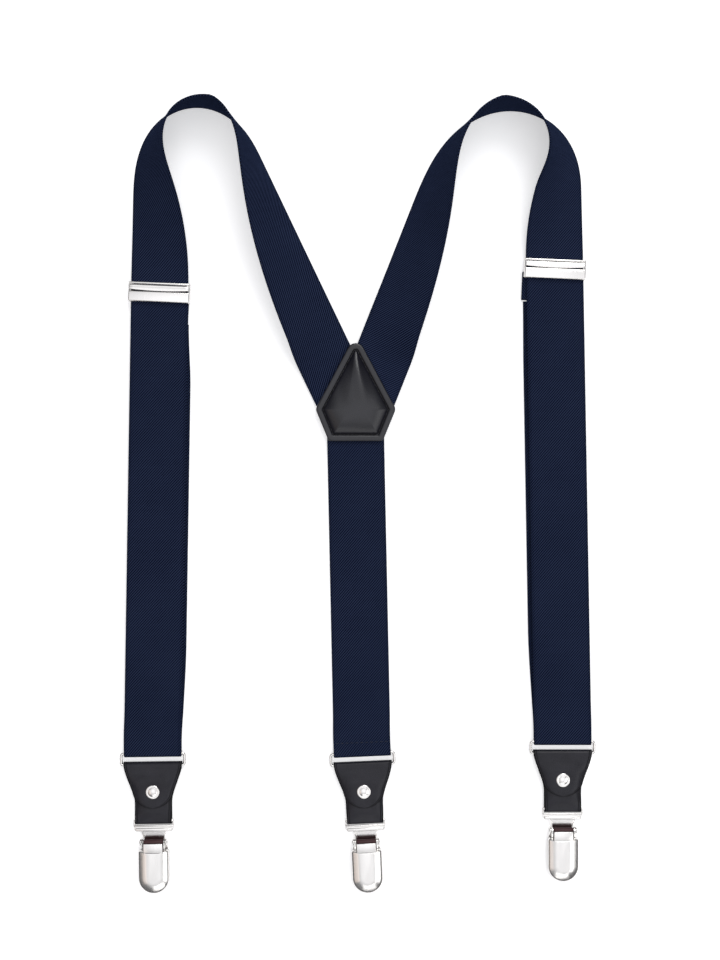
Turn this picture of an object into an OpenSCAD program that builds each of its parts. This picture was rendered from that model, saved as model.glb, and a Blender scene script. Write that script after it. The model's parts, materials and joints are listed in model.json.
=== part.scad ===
// Y-back suspenders with three clip ends, laid out flat on their back.
// Millimetres. +Y runs up the back strap, +Z is up, and the suspenders lie on Z = 0.
// The origin is under the middle of the laid-out set.

/* [Webbing] */
// Width of the elastic webbing
strap_w = 35; // [25:1:45]
// Thickness of the webbing
strap_t = 1.2; // [0.8:0.1:2]
// Length of the folded strap end that is sewn behind each adjuster
hem_len = 13; // [8:1:20]
// Length of the folded end of the back strap
back_hem_len = 10; // [8:1:25]

/* [Front runs] */
// Middle of the left adjuster, across and up
left_adjuster_at = [-121.3, 125.6]; // [-160:0.1:160]
// Middle of the right adjuster, across and up
right_adjuster_at = [120.2, 139.9]; // [-160:0.1:160]
// Left strap from its adjuster down to the ring
left_run = 282; // [80:1:400]
// Right strap from its adjuster down to the ring
right_run = 289; // [80:1:400]
// Lean of the left front strap from straight up
left_lean = 0.9; // [-5:0.1:5]
// Lean of the right front strap from straight up
right_lean = -1.0; // [-5:0.1:5]

/* [Shoulders] */
// Left: twist starts, twist length, untwist starts, untwist length
left_twist = [7, 193.5, 148, 259.5]; // [5:0.5:300]
// Left: bend starts, bend length, turn in degrees, crowding of the bend
left_bend = [50.5, 140.5, 153.4, 1.15]; // [0.5:0.01:180]
// Left: path from the adjuster to the sewn end
left_path = 348; // [300:1:420]
// Right: twist starts, twist length, untwist starts, untwist length
right_twist = [7, 168, 129.5, 269]; // [5:0.5:300]
// Right: bend starts, bend length, turn in degrees, crowding of the bend
right_bend = [47.3, 165, 157.3, 0.77]; // [0.5:0.01:180]
// Right: path from the adjuster to the sewn end
right_path = 337; // [300:1:420]
// Roll at which a strap would end its twist, if it did not start to untwist before
top_roll = 99; // [60:1:100]

/* [Back] */
// Back strap from the patch's lower edge to the ring
back_run = 191; // [60:1:350]
// Lean of the back strap from straight up
back_lean = -1.2; // [-5:0.1:5]
// Height of the leather patch
patch_h = 60; // [45:1:80]
// Height at which the patch is widest
patch_shoulder = 19.5; // [12:0.5:30]
// How far the patch is wider than the webbing, each side
patch_side = 6.7; // [2:0.1:15]

/* [Leather] */
// Thickness of the leather
leather_t = 1.2; // [0.8:0.1:2]
// Tab from its top fold to its bottom fold
tab_len = 38.4; // [32:0.2:60]
// Width of the tab at the clip
tab_low_w = 22.2; // [16:0.2:30]
// Distance from the tab's top to where its taper ends
tab_taper = 25.5; // [16:0.5:30]
// Distance from the tab's top to the tip of its front tongue
tongue_len = 28; // [24:0.5:34]
// Distance from the tab's top to the rivet
rivet_drop = 18.2; // [12:0.1:22]
// Diameter of the rivet's cap
rivet_d = 9.1; // [6:0.1:12]

/* [Metal] */
// Wire diameter of the rings
wire_d = 1.8; // [1.2:0.1:2.6]
// Height of a ring between the middles of its two bars
ring_h = 7.1; // [6:0.1:12]
// Room for the webbing inside a ring
ring_play = 2.1; // [1:0.1:4]
// Sheet thickness of the clips
sheet_t = 0.8; // [0.5:0.1:1.2]
// Length of a clip from its loop bar to its mouth
clip_len = 43.7; // [36:0.1:60]
// Width of the clip's lid
lid_w = 18.7; // [16.8:0.1:22]
// Height of a closed clip
clip_h = 8; // [7:0.1:12]
// Diameter of the clip's hinge pin
pin_d = 1.4; // [1:0.1:2]
// Height of an adjuster along the strap
adjuster_h = 12.3; // [11:0.1:18]
// Thickness of an adjuster's side rails
rail_t = 0.7; // [0.5:0.1:1.2]

/* [Fits] */
// Play of a wire in its leather fold, all round
wire_gap = 0.1; // [0.05:0.01:0.3]
// Gap between layers that lie on each other
layer_gap = 0.05; // [0.02:0.01:0.2]
// Running play of a hinge pin, all round
pin_gap = 0.05; // [0.02:0.01:0.1]
// Play beside the webbing in an adjuster
side_play = 0.6; // [0.4:0.1:1.5]

/* [Hidden] */
$fn = 48;

navy = "midnightblue";
black_leather = "dimgray";
nickel = "silver";
maroon = "maroon";

// Side numbers, used to pick a side's own values
LEFT = 0;
RIGHT = 1;

wire_r = wire_d / 2;
// Inner radii of the folds in the webbing and in the leather round a ring's bars
bar_t = 0.7;
strap_fold_r = max(wire_r + wire_gap, (bar_t + strap_t + 3 * layer_gap) / 2);
leather_fold_r = wire_r + wire_gap;
// Height of a ring's wire, so that both folds lie on the table
ring_z = max(strap_fold_r + strap_t, leather_fold_r + leather_t);
under_z = ring_z - strap_fold_r - strap_t;
over_z = ring_z + strap_fold_r;
tab_z = ring_z - leather_fold_r - leather_t;

ring_in_w = strap_w + ring_play;
ring_bend_r = 1.6;
// Play of the leather tab inside the ring, both sides together
tab_play = 1.3;
tab_top_w = ring_in_w - tab_play;

// The clip's loop bar, in the tab's bottom fold
loop_bar_d = 1.6;
loop_fold_r = loop_bar_d / 2 + wire_gap;
loop_z = tab_z + leather_t + loop_fold_r;
loop_y = -ring_h - tab_len + leather_fold_r + leather_t + loop_fold_r + leather_t;

// Shapes of the two shoulder paths
twists = [left_twist, right_twist];
bends = [left_bend, right_bend];
paths = [left_path, right_path];
leans = [left_lean, right_lean];
runs = [left_run, right_run];
adjusters_at = [left_adjuster_at, right_adjuster_at];
adjuster_skews = [-1.5, -3.5];
path_step = 3;
twist_power = 0.7;
untwist_power = 0.57;
settle_len = 60;
// Distances before the sewn end at which a strap starts and ends its rise on to the patch
rise_from = 90;
rise_by = 44;
// and over which the last of its roll goes
flat_from = 52;
flat_by = 26;

// Layers of the patch, from the table up
patch_gap = 0.2;
sewn_z = [leather_t + layer_gap, leather_t + strap_t + layer_gap + patch_gap];
patch_front_z = sewn_z[1] + strap_t + patch_gap;

// +1 for the left strap, which turns clockwise, -1 for the right
function hand(side) = side == LEFT ? 1 : -1;
function clamp01(t) = min(max(t, 0), 1);
function smooth(t) = let (u = clamp01(t)) u * u * (3 - 2 * u);

// Heading and roll of a shoulder strap at s along its outer edge
function heading(side, s) =
    90 - leans[side]
    - hand(side) * bends[side][2] * smooth(pow(clamp01((s - bends[side][0]) / bends[side][1]), bends[side][3]));
function roll(side, s) =
    top_roll * smooth(pow(clamp01((s - twists[side][0]) / twists[side][1]), twist_power))
    * (1 - smooth(pow(clamp01((s - twists[side][2]) / twists[side][3]), untwist_power)))
    * (1 - smooth((s - paths[side] + flat_from) / (flat_from - flat_by)));

// The outer edge rests on the table between the adjuster and the patch, and is lifted to each
function lift(side, s) =
    over_z * (1 - smooth(s / settle_len))
    + sewn_z[side] * smooth((s - paths[side] + rise_from) / (rise_from - rise_by));

function path_rings(side) = ceil(paths[side] / path_step);
function unit(a) = [cos(a), sin(a)];
function inward(side, a) = hand(side) * [sin(a), -cos(a)];
function path_start(side) =
    adjusters_at[side] - strap_w / 2 * inward(side, heading(side, 0));

// Points of the outer edge, one for each ring of the sweep
function outer_edge(side) =
    let (n = path_rings(side), step = paths[side] / n)
    [for (i = 0, p = path_start(side); i <= n;
          p = p + step * unit(heading(side, (i + 0.5) * step)), i = i + 1) p];

// A point on a strap: d across it from the outer edge, e above its middle surface
function on_strap(side, p, s, d, e) =
    let (a = heading(side, s), r = roll(side, s), w = inward(side, a))
    [each p + w * (d * cos(r) - e * sin(r)),
     lift(side, s) + strap_t / 2 * abs(cos(r)) + d * sin(r) + e * cos(r)];

function strap_end(side) =
    let (edge = outer_edge(side), s = paths[side], p = on_strap(side, edge[len(edge) - 1], s, strap_w / 2, 0))
    [p[0], p[1]];

// The patch sits on the sewn ends of the two shoulder straps
patch_drop = 22;
patch_at = (strap_end(LEFT) + strap_end(RIGHT)) / 2 - [0, patch_drop];
patch_bottom_w = strap_w;
patch_w = strap_w + 2 * patch_side;
back_strap_in_patch = 12.5;
// Room below the patch in which the back strap has risen on to it
patch_margin = 3;

// Each end: where its ring's upper bar lies, and how far ring, tab and clip are turned
BACK = 2;
function down(lean) = -[sin(lean), cos(lean)];
ends_at = [
    left_adjuster_at + left_run * down(left_lean),
    right_adjuster_at + right_run * down(right_lean),
    patch_at + back_run * down(back_lean)
];
end_turns = [0.8, 0, 2.5];

// The fold round a ring, past which the straight webbing starts
fold_stub = 2;
fold_gap = 0.7;
// Room for the turn of an adjuster between its hem and the webbing below it
hem_gap = 1.4;

// Adjuster, measured from its middle along the strap
strap_top_z = over_z + strap_t;
hem_bar_z = under_z + strap_t + layer_gap;
hem_bar_w = 2.6;
hem_bar_y = -adjuster_h / 2 + 0.2;
hem_fold_r = bar_t / 2 + layer_gap;
hem_fold_y = hem_bar_y + hem_bar_w;
hem_end_y = -adjuster_h / 2 - hem_len;
adjuster_in_w = strap_w + 2 * side_play;
adjuster_w = adjuster_in_w + 2 * rail_t;
cam_r = 1.4;
lever_pin_d = 1.2;
lever_pin_y = 3.3;
lever_pin_z = strap_top_z + 2 * layer_gap + cam_r;
lever_end_y = 0;
front_bar_d = 2.8;
// The front bar runs on as a plate with a thinner upper edge, close to the lever's end
front_lip_d = 1.6;
front_lip_y = lever_end_y - 0.3 - front_lip_d / 2;
front_bar_y = -adjuster_h / 2 + front_bar_d / 2;
front_bar_z = strap_top_z + 0.4 + front_bar_d / 2;
rail_top_z = lever_pin_z + 1.3;

// Leather tab, measured from the ring's upper bar
tab_top_y = -ring_h + leather_fold_r + leather_t;
tab_low_y = tab_top_y - tab_len;
rivet_y = tab_top_y - rivet_drop;
tongue_y = tab_top_y - tongue_len;
tongue_r = 13.5;
inner_end_y = rivet_y + 5.6;
inner_z = tab_z + leather_t + layer_gap;
flap_z = inner_z + leather_t + layer_gap;
rivet_post_d = 3;
rivet_tail_d = 7.6;
rivet_tail_t = 0.5;

// Clip, measured from its loop bar
loop_in_w = tab_low_w + 0.6;
loop_rail_w = 0.9;
loop_w = loop_in_w + 2 * loop_rail_w;
loop_band_y = [-2.6, -6.4];
neck_w = 12.9;
neck_y = -9.6;
// The neck stays high as far as the grip pad's sleeve, then drops to the plate
neck_high_y = -10.4;
neck_high_z = 1.2;
neck_foot_y = -12;
ear_r = 1.9;
ear_x = lid_w / 2 - sheet_t - 0.35;
ear_y = -12.35;
ear_z = 5;
lug_x = neck_w / 2 + 0.75;
lid_neck_y = -12.9;
lid_shoulder_y = -17.3;
lid_skirt_z = 2.2;
lid_crown_r = 28;
jaw_w = 13;

module across(w) { rotate([90, 0, 90]) translate([0, 0, -w / 2]) linear_extrude(w) children(); }

module flat(z, t) { translate([0, 0, z]) linear_extrude(t) children(); }

// A layer of even height over a line in the Y-Z plane
module layer(line, t) {
    n = len(line);
    polygon([each line, for (i = [n - 1 : -1 : 0]) line[i] + [0, t]]);
}

// Half a ring, on the +Y side for way 1 and on the -Y side for way -1
module half_ring(r, t, way) {
    intersection() {
        difference() {
            circle(r + t);
            circle(r);
        }
        translate([way * (r + t), 0]) square(2 * (r + t), center = true);
    }
}

module on_run(side) { translate([each adjusters_at[side], 0]) rotate(-leans[side]) children(); }

module on_adjuster(side) { on_run(side) rotate(adjuster_skews[side]) children(); }

module on_end(end) { translate([each ends_at[end], 0]) rotate(end_turns[end]) children(); }

module on_clip(end) { on_end(end) translate([0, loop_y, 0]) children(); }

// A shoulder strap, from above its adjuster round to the patch
module shoulder_strap(side) {
    n = path_rings(side);
    edge = outer_edge(side);
    corners = [[0, -1], [strap_w, -1], [strap_w, 1], [0, 1]];
    points = [
        for (i = [0 : n], c = corners)
            on_strap(side, edge[i], i * paths[side] / n, c[0], c[1] * strap_t / 2)
    ];
    turned = side == LEFT ? [0, 1, 2, 3] : [3, 2, 1, 0];
    sides = [
        for (i = [0 : n - 1], k = [0 : 3])
            let (a = turned[k], b = turned[(k + 1) % 4])
            each [[4 * i + a, 4 * i + 4 + b, 4 * i + b], [4 * i + a, 4 * i + 4 + a, 4 * i + 4 + b]]
    ];
    caps = [[for (k = turned) k], [for (k = [3 : -1 : 0]) 4 * n + turned[k]]];
    color(navy) polyhedron(points, concat(sides, caps));
}

// The straight front layer, from the adjuster down to the fold at the ring
module front_run(side) {
    color(navy) on_run(side)
        translate([-strap_w / 2, -runs[side] + fold_stub + fold_gap, over_z])
            cube([strap_w, runs[side] - fold_stub - fold_gap, strap_t]);
}

// The fold of a front strap round its ring's upper bar
module strap_fold(side) {
    color(navy) on_end(side) across(strap_w) {
        translate([0, ring_z]) half_ring(strap_fold_r, strap_t, -1);
        for (z = [under_z, over_z]) translate([0, z]) square([fold_stub, strap_t]);
    }
}

// The layer that comes back up under the front one
module strap_return(side) {
    length = runs[side] + hem_end_y - fold_stub - fold_gap - hem_gap;
    color(navy) on_run(side)
        translate([-strap_w / 2, -runs[side] + fold_stub + fold_gap, under_z])
            cube([strap_w, length, strap_t]);
}

// Its end, folded over the adjuster's rear bar and sewn down
module strap_hem(side) {
    upper_z = hem_bar_z + bar_t + layer_gap;
    color(navy) on_adjuster(side) across(strap_w) {
        layer([[hem_end_y, under_z], [hem_fold_y, under_z]], strap_t);
        translate([hem_fold_y, hem_bar_z + bar_t / 2]) half_ring(hem_fold_r, strap_t, 1);
        layer([[hem_end_y, under_z + strap_t], [hem_end_y + 3, under_z + strap_t],
               [hem_bar_y - 1.5, upper_z], [hem_fold_y, upper_z]], strap_t);
    }
}

// The back strap, whose lower end is folded round its ring and sewn down
module back_strap() {
    rest_y = back_hem_len + 12;
    rise_y = back_run - patch_margin;
    color(navy) {
        on_end(BACK) across(strap_w) {
            translate([0, ring_z]) half_ring(strap_fold_r, strap_t, -1);
            for (z = [under_z, over_z]) translate([0, z]) square([fold_stub, strap_t]);
        }
        translate([each ends_at[BACK], 0]) rotate(-back_lean) across(strap_w) {
            layer([[fold_stub - 1, under_z], [back_hem_len, under_z]], strap_t);
            layer([[fold_stub - 1, over_z], [back_hem_len - 4, under_z + strap_t],
                   [back_hem_len, under_z + strap_t], [rest_y, 0],
                   [rise_y - 14, 0], [rise_y, sewn_z[0]],
                   [back_run + back_strap_in_patch, sewn_z[0]]], strap_t);
        }
    }
}

module patch_plan() {
    low_r = 3;
    side_r = 4;
    top_r = 5.5;
    hull() {
        for (x = [-1, 1]) {
            translate([x * (patch_bottom_w / 2 - low_r), low_r]) circle(low_r, $fn = 32);
            translate([x * (patch_w / 2 - side_r), patch_shoulder]) circle(side_r, $fn = 32);
        }
        translate([0, patch_h - top_r]) circle(top_r, $fn = 32);
    }
}

module patch_front() {
    color(black_leather) translate([each patch_at, 0]) flat(patch_front_z, leather_t) patch_plan();
}

module patch_back() {
    color(black_leather) translate([each patch_at, 0]) flat(0, leather_t) patch_plan();
}

// Frame of an adjuster: two side rails, a rear bar for the hem, a rolled front plate and a top rim
module adjuster_frame(side) {
    rim_y = adjuster_h / 2;
    rim_t = 0.7;
    rail = [[hem_bar_y, hem_bar_z], [rim_y - 1.5, hem_bar_z], [rim_y, hem_bar_z + 1.5],
            [rim_y, strap_top_z + 1], [rim_y - 1.6, rail_top_z], [hem_bar_y, rail_top_z]];
    color(nickel) on_adjuster(side) {
        difference() {
            for (x = [-1, 1])
                translate([x * (adjuster_in_w + rail_t) / 2, 0, 0]) across(rail_t) polygon(rail);
            translate([0, lever_pin_y, lever_pin_z]) rotate([0, 90, 0])
                cylinder(d = lever_pin_d + 2 * pin_gap, h = 2 * adjuster_w, center = true);
        }
        translate([-adjuster_w / 2, hem_bar_y, hem_bar_z]) cube([adjuster_w, hem_bar_w, bar_t]);
        across(adjuster_w) hull() {
            translate([front_bar_y, front_bar_z]) circle(d = front_bar_d);
            translate([front_lip_y, front_bar_z + (front_lip_d - front_bar_d) / 2]) circle(d = front_lip_d);
        }
        translate([-adjuster_w / 2, rim_y - 1, strap_top_z + 2 * layer_gap])
            cube([adjuster_w, 1, rim_t]);
    }
}

// Toothed clamp that pivots in the frame and presses on the strap
module adjuster_lever(side) {
    w = adjuster_in_w - 0.4;
    crown_r = 9;
    mid_y = (lever_pin_y + lever_end_y) / 2;
    color(nickel) on_adjuster(side) difference() {
        across(w) {
            translate([lever_pin_y, lever_pin_z]) circle(cam_r);
            intersection() {
                translate([mid_y, lever_pin_z + 1.5 - crown_r]) difference() {
                    circle(crown_r, $fn = 96);
                    circle(crown_r - 1, $fn = 96);
                }
                translate([lever_end_y, lever_pin_z - 0.6])
                    square([lever_pin_y - lever_end_y, 3]);
            }
        }
        translate([0, lever_pin_y, lever_pin_z]) rotate([0, 90, 0])
            cylinder(d = lever_pin_d + 2 * pin_gap, h = 2 * w, center = true);
    }
}

module adjuster_pin(side) {
    color(nickel) on_adjuster(side) translate([0, lever_pin_y, lever_pin_z])
        rotate([0, 90, 0]) cylinder(d = lever_pin_d, h = adjuster_w, center = true);
}

// Wire ring that joins the webbing to the leather tab
module ring(end) {
    mid_w = ring_in_w + wire_d;
    bar = mid_w - 2 * ring_bend_r;
    post = ring_h - 2 * ring_bend_r;
    color(nickel) on_end(end) translate([0, 0, ring_z]) {
        for (y = [0, -ring_h])
            translate([0, y, 0]) rotate([0, 90, 0]) cylinder(r = wire_r, h = bar, center = true);
        for (x = [-1, 1])
            translate([x * mid_w / 2, -ring_h / 2, 0]) rotate([90, 0, 0])
                cylinder(r = wire_r, h = post, center = true);
        for (x = [0, 1], y = [0, 1])
            translate([(2 * x - 1) * bar / 2, y == 1 ? -ring_bend_r : ring_bend_r - ring_h, 0])
                rotate(y == 1 ? 90 * (1 - x) : 180 + 90 * x)
                    rotate_extrude(angle = 90) translate([ring_bend_r, 0]) circle(wire_r);
    }
}

// Half the tab's width at y
function tab_half_w(y) =
    (tab_top_w - (tab_top_w - tab_low_w) * smooth((tab_top_y - y) / tab_taper)) / 2;

module tab_plan(low_y) {
    rows = 12;
    taper_y = [for (i = [0 : rows]) tab_top_y - tab_taper * i / rows];
    right = [for (y = taper_y) [tab_half_w(y), y]];
    polygon([each right, [tab_low_w / 2, low_y], [-tab_low_w / 2, low_y],
             for (i = [rows : -1 : 0]) [-right[i][0], right[i][1]]]);
}

// One leather strip, folded round the ring's lower bar and round the clip's loop bar
module leather_tab(end) {
    color(black_leather) on_end(end) difference() {
        union() {
            intersection() {
                across(tab_top_w) {
                    layer([[loop_y, tab_z], [-ring_h, tab_z]], leather_t);
                    translate([-ring_h, ring_z]) half_ring(leather_fold_r, leather_t, 1);
                    translate([loop_y, loop_z]) half_ring(loop_fold_r, leather_t, -1);
                    layer([[loop_y, loop_z + loop_fold_r], [loop_y + 2, loop_z + loop_fold_r],
                           [tongue_y, inner_z], [inner_end_y, inner_z]], leather_t);
                }
                flat(-1, 10) tab_plan(tab_low_y);
            }
            intersection() {
                across(tab_top_w)
                    layer([[tongue_y, flap_z], [rivet_y + 5, flap_z],
                           [-ring_h - 2, ring_z + leather_fold_r],
                           [-ring_h, ring_z + leather_fold_r]], leather_t);
                flat(-1, 10) intersection() {
                    tab_plan(tab_low_y);
                    union() {
                        translate([0, tongue_y + tongue_r]) circle(tongue_r);
                        translate([-tab_top_w / 2, tongue_y + tongue_r])
                            square([tab_top_w, tongue_len]);
                    }
                }
            }
        }
        translate([0, rivet_y, -1]) cylinder(d = rivet_post_d + 0.2, h = 10);
        translate([0, rivet_y, -1]) cylinder(d = rivet_tail_d + 0.4, h = 1 + tab_z + rivet_tail_t + layer_gap);
    }
}

// Rivet through all the leather layers, with a domed cap and a flat tail
module rivet(end) {
    cap_z = flap_z + leather_t + layer_gap;
    dome_h = 1;
    dome_r = (rivet_d * rivet_d / 4 + dome_h * dome_h) / (2 * dome_h);
    color(nickel) on_end(end) translate([0, rivet_y, 0]) {
        translate([0, 0, tab_z]) cylinder(d = rivet_tail_d, h = rivet_tail_t);
        translate([0, 0, tab_z]) cylinder(d = rivet_post_d, h = cap_z - tab_z + 0.2);
        translate([0, 0, cap_z]) cylinder(d = rivet_d, h = 0.5);
        intersection() {
            translate([0, 0, cap_z + 0.5 + dome_h - dome_r]) sphere(dome_r);
            translate([0, 0, cap_z + 0.4]) cylinder(d = rivet_d, h = dome_h + 0.2);
        }
    }
}

module clip_plate_plan() {
    end_r = ear_x;
    translate([-ear_x, neck_y - 5.2]) square([2 * ear_x, 5.2]);
    translate([-ear_x, -clip_len + 1.5 + end_r])
        square([2 * ear_x, clip_len - 1.5 - end_r + neck_y - 5]);
    translate([0, -clip_len + 1.5 + end_r]) circle(end_r);
}

// Stamped base: loop for the leather, neck, plate under the lid and two ears for the pin
module clip_base(end) {
    loop_plan_y = loop_band_y[0];
    band_low_y = loop_band_y[1];
    plate_z = loop_z - sheet_t / 2;
    color(nickel) on_clip(end) {
        rotate([0, 90, 0]) translate([-loop_z, 0, 0]) cylinder(d = loop_bar_d, h = loop_w, center = true);
        for (x = [-1, 1])
            translate([x * (loop_in_w + loop_rail_w) / 2 - loop_rail_w / 2, loop_plan_y - 1, plate_z])
                cube([loop_rail_w, 1 - loop_plan_y, sheet_t]);
        flat(plate_z, sheet_t) polygon([
            [-loop_w / 2, loop_plan_y], [loop_w / 2, loop_plan_y],
            [loop_w / 2, band_low_y + 1.6], [loop_w / 2 - 1.6, band_low_y],
            [-loop_w / 2 + 1.6, band_low_y], [-loop_w / 2, band_low_y + 1.6]]);
        across(neck_w) layer([[neck_foot_y - 1, 0], [neck_foot_y, 0], [neck_high_y, neck_high_z],
                              [band_low_y, plate_z], [band_low_y + 1, plate_z]], sheet_t);
        flat(0, sheet_t) clip_plate_plan();
        difference() {
            for (x = [-1, 1]) translate([x * (ear_x - sheet_t / 2), 0, 0]) across(sheet_t) {
                translate([ear_y, ear_z]) circle(ear_r);
                translate([ear_y - ear_r, 0]) square([2 * ear_r, ear_z]);
            }
            translate([0, ear_y, ear_z]) rotate([0, 90, 0])
                cylinder(d = pin_d + 2 * pin_gap, h = 2 * ear_x + 2, center = true);
        }
    }
}

// Ridged grip pad on the base, whose lining runs back to a sleeve round the pin
module clip_pad(end) {
    ridges = 6;
    pitch = 3;
    first_y = -clip_len + 5;
    lining_w = 2 * (lug_x - sheet_t - 0.3);
    lining_t = 0.7;
    sleeve_r = pin_d / 2 + pin_gap + 0.75;
    web_y = neck_foot_y - 0.1;
    web_t = 1.3;
    lining_z = sheet_t + layer_gap;
    color(maroon) on_clip(end) {
        translate([-jaw_w / 2, first_y - 1, lining_z]) cube([jaw_w, ridges * pitch + 2, 1.4]);
        translate([-lining_w / 2, first_y, lining_z]) cube([lining_w, web_y - first_y, lining_t]);
        across(lining_w) difference() {
            union() {
                translate([ear_y, ear_z]) circle(sleeve_r);
                translate([web_y - web_t, lining_z]) square([web_t, ear_z - lining_z]);
            }
            translate([ear_y, ear_z]) circle(pin_d / 2 + pin_gap);
        }
        for (i = [0 : ridges - 1])
            translate([0, first_y + i * pitch, 0]) across(jaw_w)
                polygon([[0, sheet_t + 1], [pitch * 0.8, sheet_t + 1],
                         [pitch * 0.55, sheet_t + 2.3], [pitch * 0.25, sheet_t + 2.3]]);
    }
}

module clip_pin(end) {
    color(nickel) on_clip(end) translate([0, ear_y, ear_z]) rotate([0, 90, 0])
        cylinder(d = pin_d, h = 2 * ear_x + 0.8, center = true);
}

// Outline of the lid, drawn in by inset
module lid_plan(inset) {
    half = lid_w / 2 - inset;
    translate([-half, -clip_len + lid_w / 2])
        square([2 * half, clip_len - lid_w / 2 + lid_shoulder_y - inset]);
    translate([0, -clip_len + lid_w / 2]) circle(half);
}

module lid_crown(inset) {
    translate([0, 0, clip_h - lid_crown_r]) rotate([90, 0, 0])
        cylinder(r = lid_crown_r - inset, h = clip_len + 10, $fn = 128);
}

// Domed lid that swings up on the pin, with a jaw rib inside its mouth
module clip_lid(end) {
    neck_z = clip_h - sheet_t - 0.4;
    color(nickel) on_clip(end) {
        difference() {
            intersection() {
                flat(lid_skirt_z, clip_h) lid_plan(0);
                lid_crown(0);
            }
            intersection() {
                flat(0, clip_h) lid_plan(sheet_t);
                lid_crown(sheet_t);
            }
        }
        intersection() {
            translate([-jaw_w / 2, -clip_len + 6.2, sheet_t + 2.5]) cube([jaw_w, 1.2, clip_h]);
            lid_crown(sheet_t / 2);
        }
        translate([-neck_w / 2, lid_shoulder_y - 1, neck_z])
            cube([neck_w, lid_neck_y - lid_shoulder_y + 1, sheet_t]);
        difference() {
            for (x = [-1, 1]) translate([x * (lug_x - sheet_t / 2), 0, 0]) across(sheet_t) {
                translate([ear_y, ear_z]) circle(ear_r);
                polygon([[ear_y, ear_z - ear_r], [lid_shoulder_y - 0.6, ear_z - 1],
                         [lid_shoulder_y - 0.6, neck_z + sheet_t], [ear_y, ear_z + ear_r]]);
            }
            translate([0, ear_y, ear_z]) rotate([0, 90, 0])
                cylinder(d = pin_d + 2 * pin_gap, h = 2 * lid_w, center = true);
        }
    }
}

shoulder_strap(LEFT);  // left_strap
shoulder_strap(RIGHT);  // right_strap
front_run(LEFT);  // left_front_run
front_run(RIGHT);  // right_front_run
back_strap();
patch_front();
patch_back();
strap_fold(LEFT);  // left_strap_fold
strap_return(LEFT);  // left_strap_return
strap_hem(LEFT);  // left_strap_hem
adjuster_frame(LEFT);  // left_adjuster_frame
adjuster_lever(LEFT);  // left_adjuster_lever
adjuster_pin(LEFT);  // left_adjuster_pin
strap_fold(RIGHT);  // right_strap_fold
strap_return(RIGHT);  // right_strap_return
strap_hem(RIGHT);  // right_strap_hem
adjuster_frame(RIGHT);  // right_adjuster_frame
adjuster_lever(RIGHT);  // right_adjuster_lever
adjuster_pin(RIGHT);  // right_adjuster_pin
ring(LEFT);  // left_ring
leather_tab(LEFT);  // left_leather_tab
rivet(LEFT);  // left_rivet
clip_base(LEFT);  // left_clip_base
clip_pad(LEFT);  // left_clip_pad
clip_pin(LEFT);  // left_clip_pin
clip_lid(LEFT);  // left_clip_lid
ring(RIGHT);  // right_ring
leather_tab(RIGHT);  // right_leather_tab
rivet(RIGHT);  // right_rivet
clip_base(RIGHT);  // right_clip_base
clip_pad(RIGHT);  // right_clip_pad
clip_pin(RIGHT);  // right_clip_pin
clip_lid(RIGHT);  // right_clip_lid
ring(BACK);  // back_ring
leather_tab(BACK);  // back_leather_tab
rivet(BACK);  // back_rivet
clip_base(BACK);  // back_clip_base
clip_pad(BACK);  // back_clip_pad
clip_pin(BACK);  // back_clip_pin
clip_lid(BACK);  // back_clip_lid
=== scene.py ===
"""Y-back suspenders laid out flat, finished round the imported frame. All sizes are in metres."""

import json
from math import atan2, ceil, cos, exp, hypot, pi, radians, sin, sqrt

import bmesh
import bpy
from mathutils import Matrix, Vector


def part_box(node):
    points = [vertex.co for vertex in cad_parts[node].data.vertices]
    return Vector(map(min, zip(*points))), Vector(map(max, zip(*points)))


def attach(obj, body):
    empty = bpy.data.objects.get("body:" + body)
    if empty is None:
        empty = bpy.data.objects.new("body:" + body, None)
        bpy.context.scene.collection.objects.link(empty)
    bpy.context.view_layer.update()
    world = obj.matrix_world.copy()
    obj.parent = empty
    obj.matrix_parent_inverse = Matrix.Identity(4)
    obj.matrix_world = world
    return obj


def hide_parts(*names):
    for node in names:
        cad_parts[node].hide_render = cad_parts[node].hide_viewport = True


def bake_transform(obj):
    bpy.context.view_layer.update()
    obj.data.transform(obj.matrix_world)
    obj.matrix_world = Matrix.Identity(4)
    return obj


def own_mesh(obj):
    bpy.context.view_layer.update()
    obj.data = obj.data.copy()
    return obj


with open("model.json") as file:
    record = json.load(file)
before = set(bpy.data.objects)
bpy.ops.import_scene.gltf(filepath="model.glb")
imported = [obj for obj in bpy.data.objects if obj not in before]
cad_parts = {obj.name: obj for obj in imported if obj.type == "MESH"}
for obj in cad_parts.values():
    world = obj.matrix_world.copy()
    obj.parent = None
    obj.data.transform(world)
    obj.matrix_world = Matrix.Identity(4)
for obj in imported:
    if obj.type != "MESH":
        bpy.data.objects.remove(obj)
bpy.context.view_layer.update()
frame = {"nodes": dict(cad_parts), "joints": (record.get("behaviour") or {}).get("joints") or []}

MM = 0.001
SIDES = ("left", "right")
ENDS = ("left", "right", "back")
joints = {joint["name"]: joint for joint in frame["joints"]}

# Webbing
STRAP_W = 35 * MM
STRAP_T = 1.2 * MM
STRAP_LOW = 0.6 * MM
STRAP_FOLD_R = 1.625 * MM
RING_Z = joints["left_ring_hinge"]["pos_m"][2]
STRAP_HIGH = RING_Z + STRAP_FOLD_R
# How far each straight strap leans from upright, in degrees
LEAN = {"left": 0.9, "right": -1.0, "back": -1.2}
# How far the hem and the returning webbing lie beside the front webbing
HEM_ASIDE = {"left": 0.2 * MM, "right": -1.8 * MM}
RETURN_ASIDE = {"left": 1.8 * MM, "right": -2.2 * MM}
# Length of the hem below its adjuster, and how far the returning webbing runs into it
HEM_LEN = 13 * MM
HEM_OVERLAP = 0.3 * MM
RETURN_STUB = 2 * MM

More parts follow.
